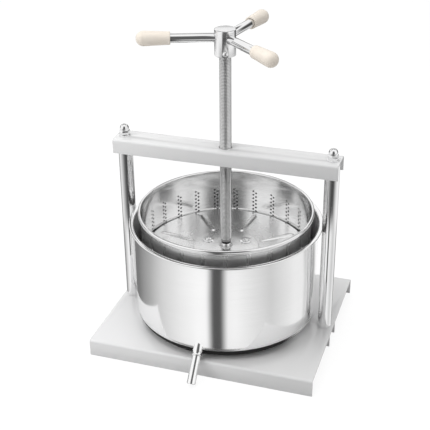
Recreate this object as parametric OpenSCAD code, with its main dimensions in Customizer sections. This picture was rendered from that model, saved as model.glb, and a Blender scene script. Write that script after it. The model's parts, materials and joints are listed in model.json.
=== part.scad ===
// Fruit wine press: a pot with a perforated basket stands on a folded steel base, and a
// hand-turned screw in a bridge of two columns and a beam pushes a pressing plate into the basket.
// Millimetres, +Z up, +X to the right of someone facing the spout.
// The origin is on the floor, at the middle of the rectangle that the press covers.

/* [Pot] */
// Outer diameter of the pot's straight wall
pot_d = 260; // [230:1:300]
// Height of the pot from the base plate to the top of its lip
pot_h = 149; // [120:1:180]
// Sheet thickness of the pot
pot_t = 1; // [0.8:0.1:2]
// Outside radius of the pot's bottom corner
pot_corner = 20; // [14:1:26]
// How far the pot's lip stands out from its wall
lip_w = 6; // [4:0.5:9]
// Radius of the rolled bead at the lip's edge
lip_bead_r = 1.2; // [1:0.1:1.8]

/* [Spout] */
// Outer diameter of the spout tube
spout_d = 12; // [9:0.5:16]
// Wall thickness of the spout tube
spout_t = 1; // [0.8:0.1:2]
// Slope of the spout below the horizontal, in degrees
spout_slope = 49; // [35:1:55]
// Gap between the spout tube and the front edge of the base
spout_edge_gap = 0.8; // [0.5:0.1:3]
// Gap between the spout's mouth and the floor
spout_floor_gap = 0.6; // [0.4:0.1:6]

/* [Basket] */
// Gap between the inside of the pot and the basket's rolled rim
basket_gap = 5.5; // [3:0.5:10]
// Height of the basket's rim above the pot's lip
basket_rise = 18; // [10:1:40]
// Sheet thickness of the basket
basket_t = 1; // [0.8:0.1:1.5]
// Outside radius of the basket's bottom corner
basket_corner = 12; // [8:1:18]
// How far the rolled rim stands out from the basket's wall
rim_w = 4.2; // [3.6:0.1:6]
// Height of the rolled rim
rim_h = 9; // [7:0.5:14]
// Height of the foot bead pressed into the basket's floor
foot_h = 8; // [5:0.5:14]
// Half width of the foot bead where it stands on the pot
foot_half_w = 4; // [3:0.5:6]
// Distance from the basket's wall in to the middle of the foot bead
foot_inset = 26; // [20:1:40]

/* [Basket floor holes] */
// Diameter of a drain hole in the basket's floor
floor_hole_d = 3; // [2:0.1:4]
// Distance between two rings of drain holes
floor_ring_pitch = 16; // [12:1:24]

/* [Pressing plate] */
// Height of the plate's top above the base plate, as it stands in the pot
plate_z = 103.5; // [90:0.5:125]
// Gap between the plate's edge and the basket's wall
plate_gap = 1.3; // [1:0.1:4]
// Sheet thickness of the plate
plate_t = 2; // [1.5:0.1:3]
// Height of the plate's turned-down edge
plate_edge_h = 10; // [8:0.5:14]
// Outside radius of the bend at the plate's edge
plate_bend = 3.5; // [3.2:0.1:5]
// Number of ribs pressed into the plate
rib_count = 8; // [6:1:10]
// Direction of the first rib, in degrees from the right
rib_angle = 37.5; // [0:0.5:45]
// Height of a rib above the plate
rib_h = 1.8; // [1:0.1:2.5]
// Radius of a rib's round back
rib_r = 6; // [5.2:0.1:8]
// Distance from the seat's flange out to a rib's inner end
rib_gap = 3.5; // [1:0.5:10]
// Distance from the plate's edge in to a rib's outer end
rib_inset = 12; // [8:1:30]

/* [Spindle seat] */
// Diameter of the seat's flange
seat_d = 94; // [84:1:110]
// Thickness of the seat's flange
seat_t = 3; // [2.5:0.1:4]
// Height of the boss above the flange
boss_h = 5.5; // [4:0.5:10]
// Wall of the boss at its top
boss_wall = 1.6; // [1.5:0.1:3]
// How much wider the boss's foot is than its top, on each side
boss_flare = 2; // [1:0.5:5]
// Distance of the three seat bolts from the screw's axis
seat_bolt_r = 31; // [28:0.5:34]
// Direction of the first seat bolt, in degrees from the right
seat_bolt_angle = 43; // [0:1:119]
// Thickness of the thrust washer on the boss
thrust_t = 2.7; // [1.5:0.1:4]
// Thickness of the retaining ring under the plate
ring_t = 1.2; // [1:0.1:2]

/* [Press screw] */
// Outer diameter of the screw's thread
screw_d = 16; // [14:1:20]
// Distance between two turns of the thread
thread_pitch = 2; // [1.5:0.5:4]
// Depth of the thread
thread_depth = 1.1; // [0.8:0.1:1.4]
// Width of the shoulder above the screw's neck
shoulder_w = 3; // [2.5:0.1:3.5]
// Length of thread that stands between the beam and the hub
screw_free = 129; // [110:1:160]
// Length of the screw inside the hub
screw_in_hub = 15; // [12:1:16]
// Height of the screw's nut under the beam
screw_nut_h = 17; // [12:1:17]
// Wall of the nut at its flats
screw_nut_wall = 4; // [3:0.5:6]

/* [Handle] */
// Diameter of the hub
hub_d = 28; // [27:1:34]
// Height of the hub
hub_h = 35; // [33:1:44]
// Depth of the arms' axes below the top of the hub
arm_drop = 11.5; // [9:0.5:12]
// Diameter of an arm
arm_d = 12; // [10:0.5:13]
// How deep an arm sits in the hub
arm_seat = 6.5; // [5:0.5:7]
// Length of the bare arm between the hub and its grip
arm_free = 56; // [40:1:90]
// Direction of the left arm, in degrees from the right
arm_angle = 198.8; // [0:0.1:360]
// Length of a grip
grip_len = 44; // [36:1:60]
// Diameter of a grip at its open end
grip_d_open = 17; // [15:0.5:18]
// Diameter of a grip at its round end
grip_d = 19.5; // [19:0.5:24]
// Solid length at the round end of a grip
grip_end = 6; // [4:0.5:12]
// Height of the hub's screw above the bottom of the hub
set_screw_h = 5; // [4.5:0.5:6]
// Direction of the hub's screw, in degrees from the right
set_screw_angle = 288; // [270:1:300]
// Head diameter of the hub's screw
set_head_d = 7.6; // [6:0.1:8]

/* [Columns and beam] */
// Diameter of a column
column_d = 20; // [16:1:26]
// Gap between a column and the pot's lip
column_gap = 1; // [0.6:0.1:6]
// Free height between the basket's rim and the beam
lift_room = 71; // [60:1:120]
// Length of the beam beyond a column's axis
beam_end = 11; // [11:0.5:20]
// Width of the beam
beam_w = 38; // [36:1:50]
// Height of the beam's folded sides
beam_h = 21; // [20:1:30]
// Sheet thickness of the beam and the cross channel
channel_t = 2; // [1.5:0.1:3]
// Outside radius of the bends of the beam and the cross channel
channel_bend = 3.5; // [3.2:0.1:5]

/* [Base] */
// Sheet thickness of the base
base_t = 2; // [1.5:0.1:3]
// Height of the base
base_h = 25; // [25:1:40]
// Outside radius of the bends of the base
base_bend = 3.5; // [3.2:0.1:6]
// Length of the base beyond a column's axis
base_end = 13; // [12:1:30]
// Depth of the base beyond the pot's wall, front and back
base_margin = 4; // [3:0.5:8]
// How far the cross channel stops short of the base's ends
channel_inset = 1; // [0.5:0.5:6]

/* [Fasteners] */
// Thread diameter of the columns' ends
stud_d = 8; // [6:1:10]
// Width across flats of the nuts on the columns
stud_nut_w = 13; // [13:0.5:17]
// Height of the hexagon of those nuts
stud_nut_h = 6.5; // [5:0.5:8]
// Height of the cap nuts with their domes
cap_nut_h = 15; // [14:0.5:18]
// Outer diameter of the washers on the columns' ends
stud_washer_d = 16.5; // [16:0.5:20]
// Thickness of those washers
stud_washer_t = 1.6; // [1:0.1:2]
// Thread diameter of the seat's bolts
bolt_d = 6; // [5:0.5:6]
// Head diameter of the seat's bolts
bolt_head_d = 11; // [10:0.5:12]
// Head height of the seat's bolts
bolt_head_h = 3.3; // [2.5:0.1:4]
// Outer diameter of the seat bolts' washers
bolt_washer_d = 17; // [13:0.5:18]
// Thickness of those washers
bolt_washer_t = 1.2; // [1:0.1:2]
// Width across flats of the seat bolts' nuts
bolt_nut_w = 10; // [9:0.5:11]
// Height of the seat bolts' nuts
bolt_nut_h = 4; // [3:0.5:5]
// Thread diameter of the hub's screw
set_d = 5; // [4:0.5:5.5]

/* [Clearances] */
// Radial clearance of the screw in its nut and of its neck in the seat
run_clear = 0.05; // [0.02:0.01:0.1]
// Radial clearance of parts pushed into one another
push_clear = 0.05; // [0.02:0.01:0.2]
// Radial clearance of a bolt in its hole
bolt_clear = 0.5; // [0.3:0.1:1]
// Radial clearance of the screw in the beam
beam_hole_clear = 0.8; // [0.5:0.1:2]
// Gap between faces that turn against each other
face_gap = 0.3; // [0.2:0.05:0.5]

/* [Hidden] */
$fn = 96;

// Overlap of shapes that are joined, and how far a cutting shape reaches past what it cuts
eps = 0.01;
past = 1;

// Radii that follow from the pot
pot_r = pot_d / 2;
lip_r = pot_r + lip_w;
rim_r = pot_r - pot_t - basket_gap;
basket_r = rim_r - rim_w;
plate_r = basket_r - basket_t - plate_gap;

// Places of the frame, from the screw's axis and the top of the base plate
column_x = lip_r + column_gap + column_d / 2;
base_len = 2 * (column_x + base_end);
base_d = 2 * (pot_r + base_margin);
beam_len = 2 * (column_x + beam_end);
basket_z = pot_h + basket_rise;
beam_z = basket_z + lift_room + beam_h;
web_z = beam_z - channel_t;

// The spout runs clear of the base's front edge and stops above the floor
spout_r = spout_d / 2;
spout_z = base_margin * tan(spout_slope) + (spout_r + spout_edge_gap) / cos(spout_slope);
spout_mouth_z = spout_floor_gap - base_h + spout_r * cos(spout_slope);
spout_len = (spout_z - spout_mouth_z) / sin(spout_slope);
spout_reach = pot_r + spout_len * cos(spout_slope) + spout_r * sin(spout_slope);

// The middle of the ground covered lies in front of the screw's axis, because of the spout.
// At the back the pot's lip or the base reaches further, whichever is wider.
axis_y = (spout_reach - max(base_d / 2, lip_r)) / 2;

// Heights of the spindle seat and of the screw
seat_z = plate_z;
boss_z = seat_z + seat_t + boss_h;
neck_r = screw_d / 2 - shoulder_w;
boss_r = neck_r + run_clear + boss_wall;
shoulder_z = boss_z + thrust_t + face_gap;
hub_z = beam_z + screw_free;
arm_z = hub_z + hub_h - arm_drop;
ring_z = plate_z - plate_t - face_gap - ring_t;
hub_r = hub_d / 2;
arm_in = hub_r - arm_seat;
grip_in = hub_r + arm_free;
floor_z = pot_t + foot_h;

// Screw: depth of the ring's groove, length below the ring, bare length at both ends of the thread
ring_groove = 1;
neck_end = 1.5;
thread_runout = 3;

// Retaining ring and thrust washer: the ring's width, and how far the washer stays inside the boss
ring_w = 2.5;
thrust_step = 0.2;

// Studs and bolts: length beyond the nut, and the cap nut's crown above the stud and its bore
stud_out = 2;
bolt_out = 1.5;
cap_crown = 5;
cap_roof = 3;
dome_step = 0.3;

// Handle: chamfer of the hub, edge of a grip, height of the hub screw's head
hub_chamfer = 1;
grip_edge = 1;
set_head_h = 2.6;

// Straight edge of the seat's flange below its rounding
seat_edge = 0.5;

// Foot bead: slope of its sides, and room between it and the drain holes
foot_slope_w = 2;

// Moves a module's shape from the screw's axis on the base plate into the part's frame
module placed() {
    translate([0, axis_y, base_h]) children();
}

// Half outline of a round vessel of radius r and height h with a round bottom corner
module cup_outline(r, h, corner) {
    square([r - corner, h]);
    translate([0, corner]) square([r, h - corner]);
    translate([r - corner, corner]) circle(corner);
}

// Half outline of the same vessel as a sheet of thickness t, open at the top
module cup_sheet(r, h, corner, t) {
    difference() {
        cup_outline(r, h, corner);
        translate([0, t]) cup_outline(r - t, h, corner - t);
    }
}

// Folded channel along X, open below, its top at z = 0
module channel(len, w, h, t, bend) {
    rotate([90, 0, 90])
        translate([0, 0, -len / 2])
            linear_extrude(len)
                difference() {
                    channel_outline(w, h, bend);
                    translate([0, -t]) channel_outline(w - 2 * t, h, bend - t);
                }
}

module channel_outline(w, h, bend) {
    translate([-w / 2, -h]) square([w, h - bend]);
    translate([-w / 2 + bend, -h]) square([w - 2 * bend, h]);
    for (side = [-1, 1])
        translate([side * (w / 2 - bend), -bend]) circle(bend);
}

// Washer on z = 0
module washer(outer_d, inner_r, t) {
    difference() {
        cylinder(d = outer_d, h = t);
        translate([0, 0, -past]) cylinder(r = inner_r, h = t + 2 * past);
    }
}

// Hexagon on z = 0, width measured across its flats
module hexagon(w, h) {
    cylinder(r = w / 2 / cos(30), h = h, $fn = 6);
}

module hex_nut(w, h, inner_r) {
    difference() {
        intersection() {
            hexagon(w, h);
            cylinder(r1 = w / 2 + h, r2 = w / 2, h = h);
        }
        translate([0, 0, -past]) cylinder(r = inner_r, h = h + 2 * past);
    }
}

// Repeats a child at both columns
module at_columns() {
    for (side = [-1, 1])
        translate([side * column_x, 0, 0]) children();
}

// Holes for the columns' studs through a sheet whose top is at height z
module stud_holes(z, t) {
    at_columns()
        translate([0, 0, z - t - past])
            cylinder(r = stud_d / 2 + bolt_clear, h = t + 2 * past);
}

// Repeats a child at the three seat bolts
module at_seat_bolts() {
    for (i = [0 : 2])
        rotate([0, 0, seat_bolt_angle + i * 120]) translate([seat_bolt_r, 0, 0]) children();
}

// Puts a child that lies along +Z from the axis onto arm number i
module at_arm(i) {
    translate([0, 0, arm_z]) rotate([0, 0, arm_angle + i * 120]) rotate([0, 90, 0]) children();
}

// Base

module base_tray() {
    color("whitesmoke") placed()
        difference() {
            channel(base_len, base_d, base_h, base_t, base_bend);
            stud_holes(0, base_t);
        }
}

module cross_channel() {
    color("white") placed()
        difference() {
            translate([0, 0, -base_t])
                channel(base_len - 2 * channel_inset, beam_w, beam_h, channel_t, channel_bend);
            stud_holes(-base_t, channel_t);
        }
}

// Columns, turned down at both ends to pass through the base and the beam

module column(side) {
    stud_low = base_t + channel_t + stud_washer_t + stud_nut_h + stud_out;
    stud_high = channel_t + stud_washer_t + cap_nut_h - cap_crown;
    placed() translate([side * column_x, 0, 0]) {
        cylinder(d = column_d, h = web_z);
        translate([0, 0, -stud_low]) cylinder(d = stud_d, h = stud_low + past);
        translate([0, 0, web_z - past]) cylinder(d = stud_d, h = stud_high + past);
    }
}

module left_column() {
    color("silver") column(-1);
}

module right_column() {
    color("silver") column(1);
}

module base_washers() {
    color("gray") placed() at_columns()
        translate([0, 0, -base_t - channel_t - stud_washer_t])
            washer(stud_washer_d, stud_d / 2 + push_clear, stud_washer_t);
}

module base_nuts() {
    color("gray") placed() at_columns()
        translate([0, 0, -base_t - channel_t - stud_washer_t])
            mirror([0, 0, 1]) hex_nut(stud_nut_w, stud_nut_h, stud_d / 2 + push_clear);
}

// Beam with its washers, cap nuts and the nut that the screw runs in

module cross_beam() {
    color("whitesmoke") placed()
        difference() {
            translate([0, 0, beam_z]) channel(beam_len, beam_w, beam_h, channel_t, channel_bend);
            stud_holes(beam_z, channel_t);
            translate([0, 0, web_z - past])
                cylinder(r = screw_d / 2 + beam_hole_clear, h = channel_t + 2 * past);
        }
}

module beam_washers() {
    color("silver") placed() at_columns()
        translate([0, 0, beam_z]) washer(stud_washer_d, stud_d / 2 + push_clear, stud_washer_t);
}

module cap_nuts() {
    dome_r = stud_nut_w / 2 - dome_step;
    dome_z = cap_nut_h - dome_r;
    color("silver") placed() at_columns()
        translate([0, 0, beam_z + stud_washer_t])
            difference() {
                union() {
                    hexagon(stud_nut_w, stud_nut_h);
                    cylinder(r = dome_r, h = dome_z);
                    translate([0, 0, dome_z]) sphere(dome_r);
                }
                translate([0, 0, -past])
                    cylinder(r = stud_d / 2 + push_clear, h = cap_nut_h - cap_roof + past);
            }
}

module screw_nut() {
    color("gray") placed()
        translate([0, 0, web_z - screw_nut_h])
            hex_nut(screw_d + 2 * screw_nut_wall, screw_nut_h, screw_d / 2 + run_clear);
}

// Press screw: threaded rod with a neck below that turns in the spindle seat

module press_screw() {
    r = screw_d / 2;
    root_r = r - thread_depth;
    first_z = shoulder_z + thread_runout;
    top_z = hub_z + screw_in_hub;
    turns = floor((hub_z - thread_runout - first_z) / thread_pitch);
    last_z = first_z + turns * thread_pitch;
    groove_r = neck_r - ring_groove;
    neck_z = ring_z - neck_end;
    thread = [for (i = [0 : turns - 1]) each [
        [root_r, first_z + i * thread_pitch],
        [r, first_z + (i + 0.5) * thread_pitch]
    ]];
    color("darkgray") placed()
        rotate_extrude()
            polygon(concat(
                [[0, neck_z], [groove_r, neck_z], [neck_r, neck_z + ring_groove / 2]],
                [[neck_r, ring_z - push_clear], [groove_r, ring_z - push_clear]],
                [[groove_r, ring_z + ring_t + push_clear], [neck_r, ring_z + ring_t + push_clear]],
                [[neck_r, shoulder_z], [root_r, shoulder_z], [root_r, first_z - thread_pitch / 2]],
                thread,
                [[root_r, last_z], [root_r, hub_z - thread_depth], [r, hub_z]],
                [[r, top_z - thread_depth], [root_r, top_z], [0, top_z]]
            ));
}

// Handle

module handle_hub() {
    seat_r = arm_d / 2 + push_clear;
    spot_r = sqrt(pow(hub_r, 2) - pow(set_head_d / 2, 2));
    color("silver") placed()
        difference() {
            translate([0, 0, hub_z]) {
                cylinder(r = hub_r, h = hub_h - hub_chamfer);
                translate([0, 0, hub_h - hub_chamfer])
                    cylinder(r1 = hub_r, r2 = hub_r - hub_chamfer, h = hub_chamfer);
            }
            translate([0, 0, hub_z - past])
                cylinder(r = screw_d / 2 + push_clear, h = screw_in_hub + past + push_clear);
            for (i = [0 : 2])
                at_arm(i) translate([0, 0, arm_in - push_clear]) cylinder(r = seat_r, h = hub_r);
            at_set_screw() {
                cylinder(r = set_d / 2 + push_clear, h = hub_d);
                translate([0, 0, spot_r]) cylinder(r = set_head_d / 2 + push_clear, h = hub_r);
            }
        }
}

module at_set_screw() {
    translate([0, 0, hub_z + set_screw_h])
        rotate([0, 0, set_screw_angle])
            rotate([0, 90, 0]) children();
}

module hub_screw() {
    head_r = set_head_d / 2;
    cap_r = (pow(head_r, 2) + pow(set_head_h, 2)) / (2 * set_head_h);
    spot_r = sqrt(pow(hub_r, 2) - pow(head_r, 2));
    tip = screw_d / 2 + push_clear;
    color("silver") placed() at_set_screw() {
        translate([0, 0, tip]) cylinder(r = set_d / 2, h = spot_r - tip + past);
        translate([0, 0, spot_r])
            intersection() {
                cylinder(r = head_r, h = set_head_h);
                translate([0, 0, set_head_h - cap_r]) sphere(cap_r);
            }
    }
}

module arm(i) {
    arm_end = grip_in + grip_len - grip_end - push_clear;
    placed() at_arm(i)
        translate([0, 0, arm_in]) cylinder(d = arm_d, h = arm_end - arm_in);
}

module left_arm() {
    color("silver") arm(0);
}

module front_arm() {
    color("silver") arm(1);
}

module back_arm() {
    color("silver") arm(2);
}

// Grip: a soft cap, slightly narrower at its open end, pushed over the arm
module grip(i) {
    end_r = grip_d / 2;
    open_r = grip_d_open / 2;
    dome_z = grip_len - end_r;
    placed() at_arm(i) translate([0, 0, grip_in])
        difference() {
            rotate_extrude()
                intersection() {
                    union() {
                        polygon([
                            [0, 0], [open_r - grip_edge, 0], [open_r, grip_edge],
                            [end_r, dome_z], [0, dome_z]
                        ]);
                        translate([0, dome_z]) circle(end_r);
                    }
                    square([end_r + past, grip_len + past]);
                }
            translate([0, 0, -past])
                cylinder(r = arm_d / 2 + push_clear, h = grip_len - grip_end + past);
        }
}

module left_grip() {
    color("ivory") grip(0);
}

module front_grip() {
    color("ivory") grip(1);
}

module back_grip() {
    color("ivory") grip(2);
}

// Spindle seat with what holds the screw's neck in it

module thrust_washer() {
    color("dimgray") placed()
        translate([0, 0, boss_z]) washer(2 * (boss_r - thrust_step), neck_r + run_clear, thrust_t);
}

// Holes for the seat's bolts through a sheet whose top is at height z
module bolt_holes(z, t) {
    at_seat_bolts()
        translate([0, 0, z - t - past])
            cylinder(r = bolt_d / 2 + bolt_clear, h = t + 2 * past);
}

module spindle_seat() {
    seat_r = seat_d / 2;
    edge = seat_t - seat_edge;
    bore_r = neck_r + run_clear;
    color("silver") placed() translate([0, 0, seat_z])
        difference() {
            rotate_extrude()
                difference() {
                    union() {
                        square([seat_r - edge, seat_t]);
                        square([seat_r, seat_t - edge]);
                        translate([seat_r - edge, seat_t - edge])
                            intersection() {
                                circle(edge);
                                square(edge);
                            }
                        polygon([
                            [0, seat_t - eps], [boss_r + boss_flare, seat_t - eps],
                            [boss_r, seat_t + boss_h], [0, seat_t + boss_h]
                        ]);
                    }
                    translate([-past, -past]) square([bore_r + past, seat_t + boss_h + 2 * past]);
                }
            bolt_holes(seat_t, seat_t);
        }
}

module seat_washers() {
    color("silver") placed() at_seat_bolts()
        translate([0, 0, seat_z + seat_t])
            washer(bolt_washer_d, bolt_d / 2 + push_clear, bolt_washer_t);
}

module seat_bolts() {
    head_z = seat_z + seat_t + bolt_washer_t;
    tip_z = plate_z - plate_t - bolt_nut_h - bolt_out;
    head_r = bolt_head_d / 2;
    cap_r = (pow(head_r, 2) + pow(bolt_head_h, 2)) / (2 * bolt_head_h);
    color("silver") placed() at_seat_bolts() {
        translate([0, 0, tip_z]) cylinder(d = bolt_d, h = head_z - tip_z + past);
        translate([0, 0, head_z])
            intersection() {
                cylinder(r = head_r, h = bolt_head_h);
                translate([0, 0, bolt_head_h - cap_r]) sphere(cap_r);
            }
    }
}

module seat_nuts() {
    color("gray") placed() at_seat_bolts()
        translate([0, 0, plate_z - plate_t])
            mirror([0, 0, 1]) hex_nut(bolt_nut_w, bolt_nut_h, bolt_d / 2 + push_clear);
}

module retaining_ring() {
    color("dimgray") placed()
        translate([0, 0, ring_z])
            washer(2 * (neck_r + ring_w), neck_r - ring_groove + push_clear, ring_t);
}

// Pressing plate: a pressed disc with a turned-down edge and ribs

// Capsule of radius r that lies along a rib
module rib_capsule(r) {
    end_r = sqrt(pow(rib_r, 2) - pow(rib_r - rib_h, 2));
    from = seat_d / 2 + rib_gap + end_r;
    len = plate_r - rib_inset - end_r - from;
    translate([from, 0, 0]) rotate([0, 90, 0])
        rotate_extrude()
            intersection() {
                union() {
                    square([r, len]);
                    circle(r);
                    translate([0, len]) circle(r);
                }
                translate([0, -r]) square([r, len + 2 * r]);
            }
}

module at_ribs() {
    for (i = [0 : rib_count - 1])
        rotate([0, 0, rib_angle + i * 360 / rib_count])
            translate([0, 0, plate_z + rib_h - rib_r]) children();
}

module press_plate() {
    color("gainsboro") placed()
        difference() {
            union() {
                translate([0, 0, plate_z]) mirror([0, 0, 1])
                    rotate_extrude() cup_sheet(plate_r, plate_edge_h, plate_bend, plate_t);
                intersection() {
                    at_ribs() rib_capsule(rib_r);
                    translate([0, 0, plate_z - plate_t / 2])
                        cylinder(r = plate_r, h = plate_t / 2 + rib_h + past);
                }
            }
            at_ribs() rib_capsule(rib_r - plate_t);
            translate([0, 0, plate_z - plate_t - past])
                cylinder(r = neck_r + bolt_clear, h = plate_t + 2 * past);
            bolt_holes(plate_z, plate_t);
        }
}

// Basket: a drawn sheet vessel with a rolled rim, a foot bead and drain holes

module basket_outline() {
    roll_r = (rim_w + basket_t) / 2;
    roll_x = rim_r - roll_r;
    foot_x = basket_r - foot_inset;
    foot_top = foot_half_w + foot_slope_w;
    difference() {
        union() {
            translate([0, floor_z])
                cup_sheet(basket_r, basket_z - floor_z - roll_r, basket_corner, basket_t);
            translate([roll_x, basket_z - roll_r]) circle(roll_r);
            translate([rim_r - basket_t, basket_z - rim_h]) square([basket_t, rim_h - roll_r]);
            polygon([
                [foot_x - foot_half_w, pot_t], [foot_x + foot_half_w, pot_t],
                [foot_x + foot_top, floor_z + eps], [foot_x - foot_top, floor_z + eps]
            ]);
        }
        translate([roll_x, basket_z - roll_r]) circle(roll_r - basket_t);
        translate([basket_r, basket_z - rim_h - past])
            square([rim_w - basket_t, rim_h + past - roll_r]);
        polygon([
            [foot_x - foot_half_w + basket_t, pot_t + basket_t],
            [foot_x + foot_half_w - basket_t, pot_t + basket_t],
            [foot_x + foot_top - basket_t, floor_z + basket_t + eps],
            [foot_x - foot_top + basket_t, floor_z + basket_t + eps]
        ]);
    }
}

module floor_holes() {
    bead_in = basket_r - foot_inset - foot_half_w - foot_slope_w;
    rings = floor((bead_in - floor_hole_d) / floor_ring_pitch);
    for (ring = [1 : rings], i = [0 : 6 * ring - 1])
        rotate([0, 0, i * 60 / ring])
            translate([ring * floor_ring_pitch, 0, floor_z - past])
                cylinder(d = floor_hole_d, h = basket_t + 2 * past, $fn = 16);
}

module basket() {
    color("lightgray") placed()
        difference() {
            rotate_extrude() basket_outline();
            floor_holes();
        }
}

// Pot with its lip and the hole that opens into the spout

module lip_outline() {
    translate([pot_r - pot_t, pot_h - pot_t]) square([lip_w - lip_bead_r + pot_t, pot_t]);
    translate([lip_r - lip_bead_r, pot_h - lip_bead_r]) circle(lip_bead_r);
}

module at_spout() {
    translate([0, -pot_r, spout_z]) rotate([90 + spout_slope, 0, 0]) children();
}

module pot() {
    color("silver") placed()
        difference() {
            rotate_extrude() {
                cup_sheet(pot_r, pot_h, pot_corner, pot_t);
                lip_outline();
            }
            at_spout() translate([0, 0, -pot_corner])
                cylinder(r = spout_r - spout_t, h = pot_corner + spout_r);
        }
}

module spout() {
    inner = pot_corner;
    color("silver") placed()
        difference() {
            at_spout() translate([0, 0, -inner]) cylinder(r = spout_r, h = inner + spout_len);
            at_spout() translate([0, 0, -inner - past])
                cylinder(r = spout_r - spout_t, h = inner + spout_len + 2 * past);
            rotate_extrude() cup_outline(pot_r, pot_h, pot_corner);
        }
}

base_tray();
cross_channel();
left_column();
right_column();
base_washers();
base_nuts();
cross_beam();
beam_washers();
cap_nuts();
screw_nut();
press_screw();
handle_hub();
hub_screw();
left_arm();
front_arm();
back_arm();
left_grip();
front_grip();
back_grip();
thrust_washer();
spindle_seat();
seat_washers();
seat_bolts();
seat_nuts();
retaining_ring();
press_plate();
basket();
pot();
spout();
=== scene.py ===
# %% [markdown]
# This lesson dresses a fruit wine press. The press was drawn in CAD first, so its sizes are right
# already. Here it gets the shapes that a drawing leaves plain, such as a real screw thread and
# hundreds of drain holes, and the finishes that the eye knows it by: white powder coat, mirror
# polished steel, satin steel and soft ivory grips.

# %% Load the CAD model
import json
import math
from collections import namedtuple

import bmesh
import bpy
from mathutils import Matrix, Vector


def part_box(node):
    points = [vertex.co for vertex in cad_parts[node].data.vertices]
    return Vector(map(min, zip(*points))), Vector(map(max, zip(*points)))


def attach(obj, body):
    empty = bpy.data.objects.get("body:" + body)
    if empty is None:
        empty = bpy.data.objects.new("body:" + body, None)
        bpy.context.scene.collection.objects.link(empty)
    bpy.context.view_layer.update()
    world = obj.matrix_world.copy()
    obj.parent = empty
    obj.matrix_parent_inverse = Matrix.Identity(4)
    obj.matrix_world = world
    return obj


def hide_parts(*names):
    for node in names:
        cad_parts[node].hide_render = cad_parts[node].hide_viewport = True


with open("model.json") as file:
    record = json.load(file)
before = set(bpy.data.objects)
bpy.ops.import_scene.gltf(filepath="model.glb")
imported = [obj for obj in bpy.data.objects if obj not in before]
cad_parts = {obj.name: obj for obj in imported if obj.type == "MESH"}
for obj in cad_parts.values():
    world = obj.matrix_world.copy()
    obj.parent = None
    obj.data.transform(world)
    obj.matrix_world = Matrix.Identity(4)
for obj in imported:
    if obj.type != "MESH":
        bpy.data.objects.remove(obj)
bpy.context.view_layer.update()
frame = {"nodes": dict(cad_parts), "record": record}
print("pieces in the CAD model:", len(frame["nodes"]))

# %% [markdown]
# Everything round in the pot turns about one upright line, the axis of the screw. The pieces below
# are drawn in millimetres from the point where that line meets the top of the base plate, because
# that is how a maker measures them. One small function moves such a point into the scene.

# %% Where the screw's axis and the base plate are
MM = 0.001
plate_low, plate_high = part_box("press_plate")
tray_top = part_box("base_tray")[1].z
AXIS = Vector((0, (plate_low.y + plate_high.y) / 2, tray_top))


def spot(x, y, z):
    return Vector((x, y, z)) * MM + AXIS


print("the axis meets the base plate at", [round(c, 4) for c in AXIS])

# %% [markdown]
# The camera stands to the right of the press, a good metre off and higher than the handle, and
# looks down on it. Its place and its long lens were worked out from straight edges and circles of
# known size in the photograph, as a surveyor would. A long lens from far off keeps the columns
# almost parallel.

# %% Place the camera
YAW = 0.317
PITCH = 0.487
ROLL = -0.011
EYE = (354.3, -1129.3, 782.1)
SENSOR = 36.0
FOCUS_PIXELS = 956.693
PICTURE_PIXELS = 430
forward = Vector((-math.sin(YAW) * math.cos(PITCH), math.cos(YAW) * math.cos(PITCH), -math.sin(PITCH)))
level = Vector((math.cos(YAW), math.sin(YAW), 0))
upward = level.cross(forward)
right = level * math.cos(ROLL) + upward * math.sin(ROLL)
above = upward * math.cos(ROLL) - level * math.sin(ROLL)

lens = bpy.data.cameras.new("view")
lens.sensor_fit = "HORIZONTAL"
lens.sensor_width = SENSOR
lens.lens = SENSOR * FOCUS_PIXELS / PICTURE_PIXELS
lens.clip_end = 50.0
camera = bpy.data.objects.new("view", lens)
turn = Matrix((right, above, -forward)).transposed().to_4x4()
camera.matrix_world = Matrix.Translation(spot(*EYE)) @ turn
bpy.context.scene.collection.objects.link(camera)
bpy.context.scene.camera = camera
bpy.context.scene.view_settings.view_transform = "Standard"
print("lens in mm:", round(lens.lens, 1))

# %% [markdown]
# Most pieces start with the same few hand moves: nothing else is selected, a primitive is added at
# its place, and edit mode opens. The helpers below do those moves. A modifier is always applied at
# once.

# %% Hand moves that every piece uses


def clear_selection():
    if bpy.context.mode != "OBJECT":
        bpy.ops.object.mode_set(mode="OBJECT")
    bpy.ops.object.select_all(action="DESELECT")


def take(piece):
    clear_selection()
    piece.select_set(True)
    bpy.context.view_layer.objects.active = piece


def finish_modifier(piece, kind, **settings):
    take(piece)
    bpy.ops.object.modifier_add(type=kind)
    modifier = piece.modifiers[-1]
    for key, value in settings.items():
        setattr(modifier, key, value)
    bpy.ops.object.modifier_apply(modifier=modifier.name)


def settle(piece):
    take(piece)
    bpy.ops.object.transform_apply(location=True, rotation=True, scale=True)


def smooth(piece, angle=32):
    take(piece)
    bpy.ops.object.shade_smooth_by_angle(angle=math.radians(angle))


def cut(piece, *cutters):
    for cutter in cutters:
        finish_modifier(piece, "BOOLEAN", object=cutter, operation="DIFFERENCE", solver="EXACT")
        bpy.data.objects.remove(cutter)


def flip(piece):
    take(piece)
    bpy.ops.object.mode_set(mode="EDIT")
    bpy.ops.mesh.select_all(action="SELECT")
    bpy.ops.mesh.flip_normals()
    bpy.ops.object.mode_set(mode="OBJECT")


def triangles(piece):
    piece.data.calc_loop_triangles()
    return len(piece.data.loop_triangles)


# %% [markdown]
# Turned and spun pieces, such as the pot, are made with Spin. Half of the outline is drawn as a
# chain of points beside the axis, one extrusion after another, and Spin carries it round. An arc
# helper supplies the points of each rounded corner. A closed outline gives a solid ring. An open
# outline gives a skin, which gets its sheet thickness afterwards.

# %% Draw an outline and spin it


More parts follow.
